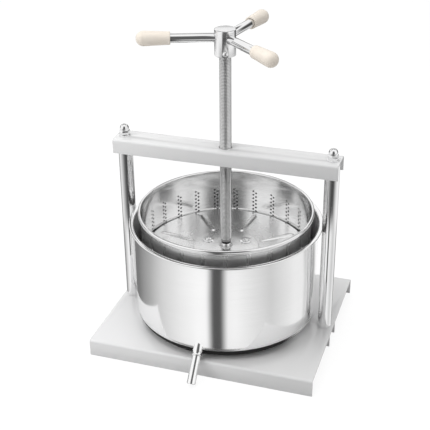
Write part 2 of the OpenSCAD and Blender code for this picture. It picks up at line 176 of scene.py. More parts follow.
def arc(x, z, radius, start, end, steps):
    points = []
    for i in range(steps + 1):
        angle = math.radians(start + (end - start) * i / steps)
        points.append((x + radius * math.cos(angle), z + radius * math.sin(angle)))
    return points


def draw_chain(path):
    clear_selection()
    bpy.ops.mesh.primitive_plane_add(size=MM, location=path[0])
    piece = bpy.context.object
    settle(piece)
    bpy.ops.object.mode_set(mode="EDIT")
    bpy.ops.mesh.select_mode(type="VERT")
    bpy.ops.mesh.select_all(action="SELECT")
    bpy.ops.mesh.merge(type="CENTER")
    for here, there in zip(path, path[1:]):
        bpy.ops.mesh.extrude_region_move(TRANSFORM_OT_translate={"value": there - here})
    return piece


def weld(gap):
    bpy.ops.mesh.select_all(action="SELECT")
    bpy.ops.mesh.remove_doubles(threshold=gap * MM)


def close_up(gap):
    weld(gap)
    bpy.ops.mesh.normals_make_consistent(inside=False)
    bpy.ops.object.mode_set(mode="OBJECT")


def spin_outline(name, outline, steps=96, closed=False, start=0.0):
    side = Vector((math.cos(math.radians(start)), math.sin(math.radians(start)), 0))
    path = [AXIS + side * (r * MM) + Vector((0, 0, z * MM)) for r, z in outline]
    if closed:
        path.append(path[0])
    piece = draw_chain(path)
    piece.name = name
    weld(0.01)
    bpy.ops.mesh.spin(steps=steps, angle=math.tau, center=AXIS, axis=(0, 0, 1))
    close_up(0.01)
    return piece


# %% [markdown]
# A piece that stands for a CAD piece is named after it and hides it, moves with its body, and is
# listed with the CAD piece it replaces, whose slot later gives it its finish.

# %% Stand a piece in for its CAD piece
made = []


def stand_in(piece, node, body):
    piece.name = node + "_look"
    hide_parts(node)
    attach(piece, body)
    made.append((piece, node))
    print(node, "has", triangles(piece), "triangles")


# %% [markdown]
# The base, the channel under it and the beam are all folded from flat sheet. A press brake bends
# such a sheet over a round die, so each fold has a radius and no sharp corner. It is modelled the
# same way: a flat plane, its two long edges extruded down as flanges, the folds rounded with a
# bevel, and then Solidify gives the sheet its thickness on the inside.

# %% Fold a channel from sheet
COLUMN_X = 147.0
SHEET = 2
BEND = 3.5
BEAM_TOP = 259.0
STUD_HOLE = 4.5
SCREW_HOLE = 8.8


def thicken(piece, sheet):
    finish_modifier(piece, "SOLIDIFY", thickness=sheet * MM, offset=-1, use_even_offset=True)


def edges_where(piece, test):
    mesh = bmesh.from_edit_mesh(piece.data)
    bpy.ops.mesh.select_all(action="DESELECT")
    bpy.ops.mesh.select_mode(type="EDGE")
    for edge in mesh.edges:
        if test(edge.verts[0].co, edge.verts[1].co):
            edge.select_set(True)
    bmesh.update_edit_mesh(piece.data)


def folded_channel(length, width, height, top):
    clear_selection()
    bpy.ops.mesh.primitive_plane_add(size=1, location=spot(0, 0, top))
    piece = bpy.context.object
    piece.scale = (length * MM, width * MM, 1)
    settle(piece)
    side = width * MM / 2 - 1e-6
    bpy.ops.object.mode_set(mode="EDIT")
    edges_where(piece, lambda a, b: abs(a.y - b.y) < 1e-6 and abs(a.y - AXIS.y) > side)
    bpy.ops.mesh.extrude_region_move(TRANSFORM_OT_translate={"value": (0, 0, -height * MM)})
    level_z = spot(0, 0, top).z
    edges_where(piece, lambda a, b: min(a.z, b.z) > level_z - 1e-6 and abs(a.y - b.y) < 1e-6)
    bpy.ops.mesh.bevel(offset=BEND * MM, segments=8, profile=0.5, affect="EDGES")
    bpy.ops.mesh.select_all(action="SELECT")
    bpy.ops.mesh.normals_make_consistent(inside=False)
    bpy.ops.object.mode_set(mode="OBJECT")
    if sum(face.normal.z * face.area for face in piece.data.polygons) < 0:
        flip(piece)
    thicken(piece, SHEET)
    return piece


def drill(x, y, z, radius, depth):
    clear_selection()
    bpy.ops.mesh.primitive_cylinder_add(
        vertices=64, radius=radius * MM, depth=depth * MM, location=spot(x, y, z)
    )
    return bpy.context.object


def break_edges(piece, width, segments=2, angle=40):
    finish_modifier(
        piece, "BEVEL", width=width * MM, segments=segments, limit_method="ANGLE",
        angle_limit=math.radians(angle), harden_normals=False,
    )


channels = {
    "base_tray": (320, 268, 25, 0),
    "cross_channel": (318, 38, 21, -SHEET),
    "cross_beam": (316, 38, 21, BEAM_TOP),
}
for node, (length, width, height, top) in channels.items():
    channel = folded_channel(length, width, height, top)
    cut(channel, drill(-COLUMN_X, 0, top, STUD_HOLE, 12), drill(COLUMN_X, 0, top, STUD_HOLE, 12))
    if node == "cross_beam":
        cut(channel, drill(0, 0, top, SCREW_HOLE, 12))
    break_edges(channel, 0.35)
    smooth(channel)
    stand_in(channel, node, "frame")

# %% [markdown]
# The columns are polished bars, turned down at both ends to a stud. The bar and its two studs are
# spun in one go, from a half outline that runs up its side. Each shoulder has a small chamfer, which
# catches a thin line of light on the real bar. A column is spun on the screw's axis and then moved
# out to its own place.

# %% Turn the two columns
STUD_FOOT = -14.1
STUD_TOP = 270.6


def column(x):
    top = BEAM_TOP - SHEET
    outline = [(0, STUD_FOOT), (3.4, STUD_FOOT), (4, STUD_FOOT + 0.6), (4, 0), (9.5, 0), (10, 0.5)]
    outline += [(10, top - 0.5), (9.5, top), (4, top)]
    outline += [(4, STUD_TOP - 0.6), (3.4, STUD_TOP), (0, STUD_TOP)]
    piece = spin_outline("column", outline, steps=96)
    piece.location.x = x * MM
    settle(piece)
    smooth(piece)
    return piece


stand_in(column(-COLUMN_X), "left_column", "frame")
stand_in(column(COLUMN_X), "right_column", "frame")

# %% [markdown]
# A cap nut is a hexagon with a dome that hides the end of the stud. The hexagon is a six-sided
# cylinder with chamfered corners, and the dome is spun from a quarter circle. Both sit on a washer.

# %% Cap nuts and washers
WASHER = 1.6


def hexagon(width, height, x, y, z, chamfer):
    clear_selection()
    radius = width / 2 / math.cos(math.pi / 6)
    bpy.ops.mesh.primitive_cylinder_add(
        vertices=6, radius=radius * MM, depth=height * MM, location=spot(x, y, z + height / 2)
    )
    piece = bpy.context.object
    settle(piece)
    break_edges(piece, chamfer, segments=3, angle=70)
    return piece


def join(*parts):
    take(parts[0])
    for part in parts:
        part.select_set(True)
    bpy.ops.object.join()
    return bpy.context.object


def cap_nut(x):
    foot = BEAM_TOP + WASHER
    outline = [(0, foot), (6.2, foot), (6.2, foot + 8.8)] + arc(0, foot + 8.8, 6.2, 0, 90, 16)[1:]
    dome = spin_outline("dome", outline, steps=64)
    dome.location.x = x * MM
    settle(dome)
    smooth(dome)
    nut = hexagon(13, 6.5, x, 0, foot, 0.5)
    smooth(nut, 25)
    return join(nut, dome)


def washer(name, x, y, z, inner, outer, thick):
    edge = 0.25
    outline = [(inner, z + edge), (inner, z + thick - edge), (inner + edge, z + thick)]
    outline += [(outer - edge, z + thick), (outer, z + thick - edge), (outer, z + edge)]
    outline += [(outer - edge, z), (inner + edge, z)]
    piece = spin_outline(name, outline, steps=64, closed=True)
    piece.location = Vector((x, y, 0)) * MM
    settle(piece)
    smooth(piece)
    return piece


stand_in(join(cap_nut(-COLUMN_X), cap_nut(COLUMN_X)), "cap_nuts", "frame")
beam_washers = [washer("washer", x, 0, BEAM_TOP, 4.05, 8.25, WASHER) for x in (-COLUMN_X, COLUMN_X)]
stand_in(join(*beam_washers), "beam_washers", "frame")

# %% [markdown]
# The press screw is the heart of the machine, so its thread is a real one. One tooth of the thread
# is drawn beside the axis, and the Screw modifier winds it upwards, 2 mm for each turn, as a lathe
# does. Neighbouring turns share their points, which are merged. The neck below it is spun.

# %% Cut the screw's thread


def wind_thread(root, crest, pitch, low, turns, steps):
    half = pitch / 2
    tooth = [(root, 0), (root, 0.14 * pitch), (crest - 0.08, half - 0.1 * pitch), (crest, half)]
    tooth += [(crest - 0.08, half + 0.1 * pitch), (root, 0.86 * pitch), (root, pitch)]
    piece = draw_chain([Vector((r, 0, z)) * MM for r, z in tooth])
    bpy.ops.object.mode_set(mode="OBJECT")
    finish_modifier(
        piece, "SCREW", axis="Z", angle=math.tau, screw_offset=pitch * MM, iterations=turns,
        steps=steps, render_steps=steps, use_merge_vertices=True, merge_threshold=0.02 * MM,
    )
    bpy.ops.object.mode_set(mode="EDIT")
    close_up(0.02)
    piece.location = spot(0, 0, low)
    settle(piece)
    return piece


SHOULDER = 115.0
HUB_BOTTOM = 388.0
PITCH_MM = 2.0
THREAD_TURNS = 135
thread = wind_thread(6.95, 8.0, PITCH_MM, SHOULDER + 2.5, THREAD_TURNS, 30)
thread_top = SHOULDER + 2.5 + PITCH_MM * (THREAD_TURNS + 1)
neck = [(0, 98.5), (4, 98.5), (5, 99), (5, 99.95), (4, 99.95), (4, 101.25), (5, 101.25), (5, SHOULDER)]
neck += [(6.5, SHOULDER), (6.9, SHOULDER + 0.4), (6.9, thread_top + 0.5), (7.9, thread_top + 0.9)]
neck += [(7.9, 402), (6.9, 403), (0, 403)]
core = spin_outline("core", neck, steps=64)
smooth(thread, 50)
smooth(core)
stand_in(join(core, thread), "press_screw", "spindle")
print("the thread ends at", thread_top, "mm, inside the hub at", HUB_BOTTOM)

# %% [markdown]
# The handle is a polished hub with three arms pushed into it. The hub is spun with a small chamfer
# at each end. Three round pockets and the one for its screw are cut into it.

# %% Turn the hub
HUB_TOP = 423.0
hub_outline = [(0, HUB_BOTTOM), (13.4, HUB_BOTTOM), (14, HUB_BOTTOM + 0.6), (14, HUB_TOP - 1)]
hub_outline += [(13.8, HUB_TOP - 0.5), (13.2, HUB_TOP - 0.1), (12.6, HUB_TOP), (0, HUB_TOP)]
hub = spin_outline("hub", hub_outline, steps=128)
ARM_Z = 411.5
ARM_R = 6.0
ARM_TURNS = {"left": 198.8, "front": 318.8, "back": 78.8}
SET_SCREW_TURN = 288
SET_SCREW_SEAT = 13.47


def pointing(piece, degrees, height):
    turn_over = Matrix.Rotation(math.radians(90), 4, "Y")
    turn_round = Matrix.Rotation(math.radians(degrees), 4, "Z")
    piece.matrix_world = Matrix.Translation(spot(0, 0, height)) @ turn_round @ turn_over
    settle(piece)


def rod(radius, start, end, steps=64, edge=0.0):
    clear_selection()
    length = end - start
    bpy.ops.mesh.primitive_cylinder_add(
        vertices=steps, radius=radius * MM, depth=length * MM, location=(0, 0, (start + length / 2) * MM)
    )
    piece = bpy.context.object
    settle(piece)
    if edge:
        break_edges(piece, edge, segments=2, angle=60)
    return piece


for degrees in ARM_TURNS.values():
    pocket = rod(ARM_R + 0.05, 7.45, 20)
    pointing(pocket, degrees, ARM_Z)
    cut(hub, pocket)
for radius, start in ((2.55, 4), (3.85, SET_SCREW_SEAT)):
    pocket = rod(radius, start, 20)
    pointing(pocket, SET_SCREW_TURN, HUB_BOTTOM + 5)
    cut(hub, pocket)
cut(hub, drill(0, 0, HUB_BOTTOM, 8.05, 30.1))
break_edges(hub, 0.25, segments=2, angle=50)
smooth(hub)
stand_in(hub, "handle_hub", "spindle")

# %% [markdown]
# The arms are plain polished rods. The grips are soft caps dipped in ivory plastic and pushed over
# them: a little slimmer at the open end, with a round tip. A closed outline that goes down the
# outside and back up the bore gives the cap its wall.

# %% Arms and grips


def upright(piece):
    piece.location = -AXIS
    settle(piece)
    return piece


def grip():
    outer = [(8.1, 70.1), (8.4, 70.3), (8.5, 70.8), (8.52, 72), (8.75, 80), (9.3, 92), (9.7, 101)]
    outer += arc(0, 104.3, 9.75, 0, 90, 14)
    inner = [(0, 108), (6.05, 108), (6.05, 70.8), (6.3, 70.2), (6.7, 70)]
    piece = spin_outline("grip", outer + inner, steps=72, closed=True)
    smooth(piece)
    return upright(piece)


for side, degrees in ARM_TURNS.items():
    arm = rod(ARM_R, 7.5, 107.9, edge=0.4)
    smooth(arm)
    pointing(arm, degrees, ARM_Z)
    stand_in(arm, side + "_arm", "spindle")
    cap = grip()
    pointing(cap, degrees, ARM_Z)
    stand_in(cap, side + "_grip", "spindle")

# %% [markdown]
# The bolts on the seat and the small screw in the hub have low domed heads with a six-sided socket.
# Head and shank are spun in one go, and a six-sided bit takes the socket out of the head. The
# dome's radius follows from the head's width and height.

# %% Domed screws


def domed_screw(head_radius, head_height, shank, length, socket):
    cap = (head_radius**2 + head_height**2) / (2 * head_height)
    widest = math.degrees(math.asin((cap - head_height) / cap))
    outline = [(0, -length), (shank - 0.4, -length), (shank, -length + 0.4), (shank, 0)]
    outline += [(head_radius - 0.2, 0)] + arc(0, head_height - cap, cap, widest, 90, 12)
    piece = upright(spin_outline("screw", outline, steps=48))
    clear_selection()
    bpy.ops.mesh.primitive_cylinder_add(
        vertices=6, radius=socket * MM, depth=3 * MM, location=(0, 0, (head_height + 0.1) * MM)
    )
    cut(piece, bpy.context.object)
    break_edges(piece, 0.12, segments=2, angle=50)
    smooth(piece, 25)
    return piece


SEAT_TOP = 106.5
BOLT_CIRCLE = 31
BOLT_TURN = 43
SEAT_WASHER = 1.2
seat_bolts = []
seat_washers = []
for i in range(3):
    angle = math.radians(BOLT_TURN + 120 * i)
    x, y = BOLT_CIRCLE * math.cos(angle), BOLT_CIRCLE * math.sin(angle)
    bolt = domed_screw(5.5, 3.3, 3, 11.7, 2.3)
    bolt.location = spot(x, y, SEAT_TOP + SEAT_WASHER)
    settle(bolt)
    seat_bolts.append(bolt)
    seat_washers.append(washer("washer", x, y, SEAT_TOP, 3.05, 8.5, SEAT_WASHER))
stand_in(join(*seat_bolts), "seat_bolts", "presser")
stand_in(join(*seat_washers), "seat_washers", "presser")
hub_screw = domed_screw(3.8, 2.6, 2.5, 5.4, 1.45)
pointing(hub_screw, SET_SCREW_TURN, HUB_BOTTOM + 5)
outward = math.radians(SET_SCREW_TURN)
hub_screw.location = Vector((math.cos(outward), math.sin(outward), 0)) * SET_SCREW_SEAT * MM
settle(hub_screw)
stand_in(hub_screw, "hub_screw", "spindle")

# %% [markdown]
# The pot is drawn from one disc of stainless sheet, 1 mm thick, over a round punch. Its bottom
# corner is a generous radius, and its lip turns outwards and ends in a rolled bead. The outline
# follows the outside up, round the bead, and down the inside, so the wall has its true thickness.

# %% Draw the pot
POT_R = 130
CORNER_R = 20
corner = arc(POT_R - CORNER_R, CORNER_R, CORNER_R, -90, 0, 20)
inner_corner = arc(POT_R - CORNER_R, CORNER_R, CORNER_R - 1, 0, -90, 20)
pot_outline = [(0, 0), (60, 0)] + corner + [(POT_R, 60), (POT_R, 100), (POT_R, 146)]
pot_outline += arc(132, 146, 2, 180, 90, 6)[1:] + arc(134.8, 147.8, 1.2, 190, 450, 18)
pot_outline += arc(132, 146, 3, 90, 180, 8) + [(POT_R - 1, 100), (POT_R - 1, 60)]
pot_outline += inner_corner + [(60, 1), (0, 1)]
pot = spin_outline("pot", pot_outline, steps=192)
SPOUT_SLOPE = 49.0
SPOUT_ROOT = spot(0, -POT_R, 14.966)


def along_spout(piece):
    turn_down = Matrix.Rotation(math.radians(90 + SPOUT_SLOPE), 4, "X")
    piece.matrix_world = Matrix.Translation(SPOUT_ROOT) @ turn_down
    settle(piece)
    return piece


cut(pot, along_spout(rod(5, -20, 6, steps=48)))
smooth(pot, 40)
stand_in(pot, "pot", "frame")

# %% [markdown]
# The spout is a short length of tube, welded to the pot and cut to its curve. The tube is spun as a
# closed ring with a slightly belled end at the weld, turned down to its slope, and a copy of the
# pot's outer form takes away what would reach inside.

# %% Weld on the spout
SPOUT_END = 46.945
tube = [(5, -14), (5, SPOUT_END - 0.3), (5.3, SPOUT_END), (5.75, SPOUT_END), (6, SPOUT_END - 0.3)]
tube += [(6, 8.8)] + arc(5.9, 7.4, 1.3, 75, -75, 8)
tube += [(6.1, 5.5), (6.2, 4), (6.5, 3), (7, 2), (7, -14)]
spout = upright(spin_outline("spout", tube, steps=64, closed=True))
along_spout(spout)
pot_form = [(0, 0)] + corner + [(POT_R, 149), (0, 149)]
cut(spout, spin_outline("pot_form", pot_form, steps=192))
smooth(spout)
stand_in(spout, "spout", "frame")

# %% [markdown]
# The basket is thin sheet too, and its wall is punched with pairs of hole columns, the second
# column half a step lower than the first. Punching is modelled as it is done: the wall is spun with
# a line of points wherever a hole will be, those points are bevelled into little rings, each ring
# is made round, and the disc inside it is taken out. Solidify then gives the sheet its thickness.

# %% Spin the basket
HOLE_LINES = 175
PAIR_STEP = 14.4
PAIR_SHIFT = -0.6
HALF_PAIR = 360 / HOLE_LINES / 2
inner_r = 118.3
rows = [140 - 3 * i for i in range(39)]
basket_outline = [(0, 10), (84, 10)] + arc(87.6, 8, 2, 90, 14, 4) + arc(91.1, 4, 2, 200, 270, 4)
basket_outline += [(95.5, 2)] + arc(95.5, 4, 2, 270, 340, 4) + arc(99, 8, 2, 166, 90, 4)
basket_outline += [(103, 10)] + arc(107.3, 21, 11, -90, 0, 12) + [(inner_r, z) for z in reversed(rows)]
basket_outline += [(inner_r, 150), (inner_r, 161), (118.6, 163.8)]
basket_outline += arc(120.9, 164.9, 2.1, 175, 0, 16) + [(123, 161.2), (122.7, 160.7)]
basket = spin_outline("basket", basket_outline, steps=HOLE_LINES, start=PAIR_SHIFT + HALF_PAIR)
print("basket skin has", triangles(basket), "triangles")

# %% [markdown]
# Selecting by place finds the points to punch. They lie on two lines beside the middle of each pair,
# and every second point of a line is one. A vertex bevel opens each of them into a ring of twelve
# points.

# %% Mark the drain holes
HOLE_R = 1.6
FIRST_HOLE = 137.0
ROW_STEP = 6.0


def polar(vertex):
    place = (vertex.co - AXIS) / MM
    return math.hypot(place.x, place.y), math.degrees(math.atan2(place.y, place.x)), place.z


def wrapped(turned, step):
    return (turned + step / 2) % step - step / 2


take(basket)
bpy.ops.object.mode_set(mode="EDIT")
bpy.ops.mesh.select_mode(type="VERT")
bpy.ops.mesh.select_all(action="DESELECT")
mesh = bmesh.from_edit_mesh(basket.data)
punched = 0
for vertex in mesh.verts:
    reach, turned, z = polar(vertex)
    if abs(reach - inner_r) > 0.05 or not 26 < z < 138:
        continue
    around = wrapped(turned - PAIR_SHIFT, PAIR_STEP)
    if abs(abs(around) - HALF_PAIR) > 0.2:
        continue
    drop = (FIRST_HOLE - z) / ROW_STEP - (0 if around > 0 else 0.5)
    if abs(drop - round(drop)) < 0.05:
        vertex.select_set(True)
        punched += 1
bmesh.update_edit_mesh(basket.data)
bpy.ops.mesh.bevel(offset=HOLE_R * MM, segments=3, profile=0.3, affect="VERTICES")
mesh = bmesh.from_edit_mesh(basket.data)
rims = [vertex for vertex in mesh.verts if {face.select for face in vertex.link_faces} == {True, False}]
print("points round the holes:", len(rims), "for", punched, "holes")

# %% [markdown]
# The rings are squarish so far. Each of their points is now moved to the hole's radius from the
# middle of its own hole, measured along the curved wall. Then the discs inside are taken out.

# %% Round the holes and take out the discs
for vertex in rims:
    reach, turned, z = polar(vertex)
    turned -= PAIR_SHIFT
    pair = round(turned / PAIR_STEP) * PAIR_STEP
    line = HALF_PAIR if turned > pair else -HALF_PAIR
    first = FIRST_HOLE - (0 if line > 0 else ROW_STEP / 2)
    row = first + round((z - first) / ROW_STEP) * ROW_STEP
    middle = math.radians(PAIR_SHIFT + pair + line)
    across = math.radians(turned - pair - line) * inner_r
    shrink = HOLE_R / math.hypot(across, z - row)
    angle = middle + across * shrink / inner_r
    vertex.co = spot(inner_r * math.cos(angle), inner_r * math.sin(angle), row + (z - row) * shrink)
bmesh.update_edit_mesh(basket.data)
bpy.ops.mesh.delete(type="FACE")
bpy.ops.object.mode_set(mode="OBJECT")
print("basket skin has", triangles(basket), "triangles after punching")
lowest = min(basket.data.polygons, key=lambda face: face.center.z)
print("the floor of the basket faces", [round(c, 2) for c in lowest.normal])

# %% [markdown]
# The floor of the basket drains too. Its holes lie on a flat sheet, so a bundle of small rods cuts
# them all at once.

# %% Give the basket its thickness and its floor holes


def facing(piece, point, direction):
    nearest = min(piece.data.polygons, key=lambda face: (face.center - point).length)
    if nearest.normal.dot(direction) < 0:
        flip(piece)


facing(basket, spot(40, 0, 10), Vector((0, 0, 1)))
thicken(basket, 1)
RING_STEP = 16
bits = []
for ring in range(1, 6):
    for i in range(6 * ring):
        angle = math.tau * i / (6 * ring)
        reach = RING_STEP * ring
        bits.append(drill(reach * math.cos(angle), reach * math.sin(angle), 9.5, 1.5, 4))
for bit in bits:
    settle(bit)
print("floor holes:", len(bits))
cut(basket, join(*bits))
smooth(basket, 35)
stand_in(basket, "basket", "frame")

# %% [markdown]
# The pressing plate is a pan-shaped disc, turned upside down, with eight ribs pressed into it so
# that it doesn't buckle. The disc is spun with many points, and those near a rib's line are raised
# along a soft bell curve, which is how pressed sheet really flows.

# %% Press the plate and its ribs
PLATE_TOP = 103.5
plate_outline = [(5.5, PLATE_TOP), (20, PLATE_TOP), (40, PLATE_TOP), (46, PLATE_TOP)]
plate_outline += [(47.5 + 1.25 * i, PLATE_TOP) for i in range(50)] + [(111, PLATE_TOP)]
plate_outline += arc(113.5, 100, 3.5, 90, 0, 8) + [(117, 93.5)]
plate = spin_outline("plate", plate_outline, steps=400)
RIB_FROM = 54.8
RIB_TO = 100.7
RIB_HALF = 4.4
RIB_HEIGHT = 1.8
RIB_SLOPE = 2.7
FIRST_RIB = 37.5
RIB_STEP = 45
for vertex in plate.data.vertices:
    reach, turned, z = polar(vertex)
    if z < PLATE_TOP - 0.01:
        continue
    around = math.radians(wrapped(turned - FIRST_RIB, RIB_STEP))
    away = reach * math.sin(around)
    run = reach * math.cos(around)
    beyond = max(RIB_FROM - run, 0, run - RIB_TO)
    distance = math.hypot(away, beyond)
    if distance < RIB_HALF:
        t = min(1, (RIB_HALF - distance) / RIB_SLOPE)
        vertex.co.z += RIB_HEIGHT * MM * t * t * (3 - 2 * t)
facing(plate, spot(100, 0, PLATE_TOP), Vector((0, 0, 1)))
thicken(plate, 2)
smooth(plate, 40)
stand_in(plate, "press_plate", "presser")

# %% [markdown]
# The seat spreads the screw's push over the plate: a round flange with a conical boss in which the
# screw's neck turns. A small fillet joins the boss to the flange, as in any turned part.

# %% Turn the spindle seat
seat_outline = [(5.05, PLATE_TOP), (46.4, PLATE_TOP), (47, PLATE_TOP + 0.4)]
seat_outline += arc(44.5, 104, 2.5, 0, 90, 8) + [(20, SEAT_TOP)]
seat_outline += arc(10.4, SEAT_TOP + 1.5, 1.5, -90, -160, 5)
seat_outline += [(6.9, 111.6), (6.5, 112), (5.05, 112)]
seat = spin_outline("seat", seat_outline, steps=128, closed=True)
smooth(seat)
stand_in(seat, "spindle_seat", "presser")
collar = washer("collar", 0, 0, 112, 5.05, 6.45, 2.7)
stand_in(collar, "thrust_washer", "presser")

# %% [markdown]
# Shader maths is easier to read as plain arithmetic. The class below wraps a socket of a material,
# so that adding or multiplying two of them adds the node that does it. Every other kind of node
# comes from one method, which takes its settings first and then what its sockets are fed with.

# %% Arithmetic for materials


class Line:
    def __init__(self, finish, socket):
        self.finish = finish
        self.socket = socket

    def math(self, operation, *others):
        inputs = dict(enumerate((self,) + others))
        return self.finish.node("ShaderNodeMath", {"operation": operation}, inputs)

    def __add__(self, other):
        return self.math("ADD", other)

    def __radd__(self, other):
        return self.math("ADD", other)

    def __mul__(self, other):
        return self.math("MULTIPLY", other)

    def __rmul__(self, other):
        return self.math("MULTIPLY", other)

    def __sub__(self, other):
        return self.math("SUBTRACT", other)

    def __rsub__(self, other):
        inputs = {0: other, 1: self}
        return self.finish.node("ShaderNodeMath", {"operation": "SUBTRACT"}, inputs)

    def __truediv__(self, other):
        return self.math("DIVIDE", other)

    def between(self, low, high):
        inputs = {"Value": self, "From Min": low, "From Max": high}
        return self.finish.node("ShaderNodeMapRange", {"interpolation_type": "SMOOTHSTEP"}, inputs)


def grey(tone):
    return (tone, tone, tone, 1)


class Finish:
    def __init__(self, name, **sockets):
        self.material = bpy.data.materials.new(name)
        self.material.use_nodes = True
        self.tree = self.material.node_tree
        self.shader = self.tree.nodes["Principled BSDF"]
        for key, value in sockets.items():
            self.put(key.replace("_", " "), value)

    def put(self, name, value):
        self.feed(self.shader.inputs[name], value)

    def feed(self, socket, value):
        if isinstance(value, Line):
            self.tree.links.new(value.socket, socket)
        else:
            socket.default_value = value

    def node(self, kind, settings=None, inputs=None, output=0):
        node = self.tree.nodes.new(kind)
        for key, value in (settings or {}).items():
            if key == "stops":
                ramp = node.color_ramp.elements
                while len(ramp) < len(value):
                    ramp.new(0.5)
                for element, (place, tone) in zip(ramp, value):
                    element.position = place
                    element.color = grey(tone)
            else:
                setattr(node, key, value)
        for key, value in (inputs or {}).items():
            self.feed(node.inputs[key], value)
        return Line(self, node.outputs[output]) if len(node.outputs) else None

    def place(self):
        return self.node("ShaderNodeTexCoord", output="Object")

    def noise(self, vector, scale, detail=2.0, rough=0.5):
        inputs = {"Vector": vector, "Scale": scale, "Detail": detail, "Roughness": rough}
        return self.node("ShaderNodeTexNoise", {"noise_dimensions": "3D"}, inputs)

    def stretched(self, vector, x, y, z):
        inputs = {"Vector": vector, "Scale": (x, y, z)}
        return self.node("ShaderNodeMapping", {"vector_type": "POINT"}, inputs)

    def blend(self, factor, first, second):
        inputs = {0: factor, 6: first, 7: second}
        return self.node("ShaderNodeMix", {"data_type": "RGBA"}, inputs, output=2)

    def bump(self, height, strength, distance):
        inputs = {"Height": height, "Strength": strength, "Distance": distance}
        self.put("Normal", self.node("ShaderNodeBump", {}, inputs))

    def split(self, vector):
        node = self.tree.nodes.new("ShaderNodeSeparateXYZ")
        self.feed(node.inputs[0], vector)
        return [Line(self, socket) for socket in node.outputs]

    def around(self):
        inputs = {"Vector": self.place(), "Location": (0, -AXIS.y, 0)}
        across, deep, high = self.split(self.node("ShaderNodeMapping", {}, inputs))
        angle = deep.math("ARCTAN2", across)
        radius = (across * across + deep * deep).math("SQRT")
        return angle, radius, high

    def vector(self, x, y, z):
        return self.node("ShaderNodeCombineXYZ", {}, {0: x, 1: y, 2: z})


# %% [markdown]
# The base and the beam are powder coated: white powder baked to a hard glossy skin. It has a faint
# orange peel, a fine ripple about a millimetre wide that softens every reflection, and its tone
# changes very slightly from place to place.

# %% White powder coat


def white_coat():
    coat = Finish("white_coat", Specular_IOR_Level=0.5)
    place = coat.place()
    cloud = coat.noise(place, 6.0, 3.0)
    colour = coat.blend(cloud.between(0.3, 0.7), (0.775, 0.775, 0.78, 1), grey(0.795))
    coat.put("Base Color", colour)
    coat.put("Roughness", coat.noise(place, 40.0, 3.0) * 0.08 + 0.12)
    peel = coat.noise(place, 520.0, 1.5)
    ripple = coat.noise(place, 28.0, 1.0)
    coat.bump(peel * 0.4 + ripple * 1.6, 0.25, 0.00006)
    return coat.material


# %% [markdown]
# Polished steel is a mirror with small faults. A very low roughness makes the mirror, fine marks
# along the bar make it a little uneven, and a slow ripple bends the reflections as grinding does.
# Only the hub is brushed instead of polished. It is told apart by its place: high up, and close to
# the axis.

# %% Mirror polished steel


def polished_steel():
    steel = Finish("polished_steel", Metallic=1.0)
    place = steel.place()
    tone = steel.noise(place, 14.0, 3.0)
    steel.put("Base Color", steel.blend(tone.between(0.3, 0.7), (0.88, 0.88, 0.885, 1), grey(0.93)))
    marks = steel.noise(steel.stretched(place, 1.0, 1.0, 0.04), 1800.0, 2.0)
    angle, radius, high = steel.around()
    hub = (1 - radius.between(14.1 * MM, 14.6 * MM)) * high.between(300 * MM, 310 * MM)
    steel.put("Roughness", marks * 0.05 + 0.03 + hub * 0.17)
    wave = steel.noise(place, 60.0, 1.0)
    steel.bump(wave + marks * 0.05, 0.12, 0.00004)
    return steel.material


# %% [markdown]
# The pot was polished while it turned, so its faint lines run round it. They are made by noise that
# changes quickly with height and slowly with the angle about the axis. Some places of a spun piece
# are rougher, and some are painted darker as shade. Each is a zone: a range of distances from the
# axis below a certain height, with its own tone and extra roughness, and one of them only reaches
# round the front. The inside of the pot is rougher and a little darker. Lower down it is painted
# much darker as shade from the narrow gap behind the basket, and nearly black round the front.
# The walls of the basket's drain holes are painted nearly black as shade. The basket's outside is
# rougher and a little darker, and also carries upright burnished lines, where the punch pressed the
# sheet at each column of holes.

# %% Spun stainless sheet
Zone = namedtuple("Zone", "inner outer top tone extra front", defaults=(False,))
EDGE = 0.2
FADE = 6
FRONT_TURN = math.radians(-85)
FRONT_NEAR = math.radians(48)
FRONT_FAR = math.radians(66)


def spun_steel(name, dark, light, smoothest, spread, wave_height, zones=(), lined=False):
    steel = Finish(name, Metallic=1.0)
    angle, radius, high = steel.around()
    streaks = steel.noise(steel.vector(angle * 1.5, radius * 40.0, high * 900.0), 1.0, 4.0, 0.6)
    patches = steel.noise(steel.place(), 11.0, 2.0)
    shade = streaks * 0.5 + patches * 0.5
    colour = steel.blend(shade.between(0.35, 0.65), grey(dark), grey(light))
    rough = streaks * spread + smoothest
    # A zone's tone can be painted shade, as inside the pot and on the walls of the basket's drain holes.
    for zone in zones:
        top = AXIS.z + zone.top * MM
        past_inner = radius.between(zone.inner * MM, (zone.inner + EDGE) * MM)
        past_outer = radius.between(zone.outer * MM, (zone.outer + EDGE) * MM)
        cover = past_inner * (1 - past_outer) * (1 - high.between(top - FADE * MM, top))
        if zone.front:
            aside = (angle - FRONT_TURN).math("ABSOLUTE")
            cover = cover * (1 - aside.between(FRONT_NEAR, FRONT_FAR))
        colour = steel.blend(cover, colour, grey(zone.tone))
        rough = rough + cover * zone.extra
    if lined:
        turned = (angle * math.degrees(1) - PAIR_SHIFT + PAIR_STEP / 2).math("FLOORED_MODULO", PAIR_STEP)
        off = (turned - PAIR_STEP / 2).math("ABSOLUTE") - HALF_PAIR
        line = 1 - off.math("ABSOLUTE").between(0.15, 0.45)
        line = line * radius.between(119.2 * MM, 119.3 * MM)
        rough = rough * (1 - line * 0.35)
    steel.put("Base Color", colour)
    steel.put("Roughness", rough)
    wave = steel.noise(steel.place(), 16.0, 1.0)
    steel.bump(wave, 0.2 * wave_height, 0.0001)
    return steel.material
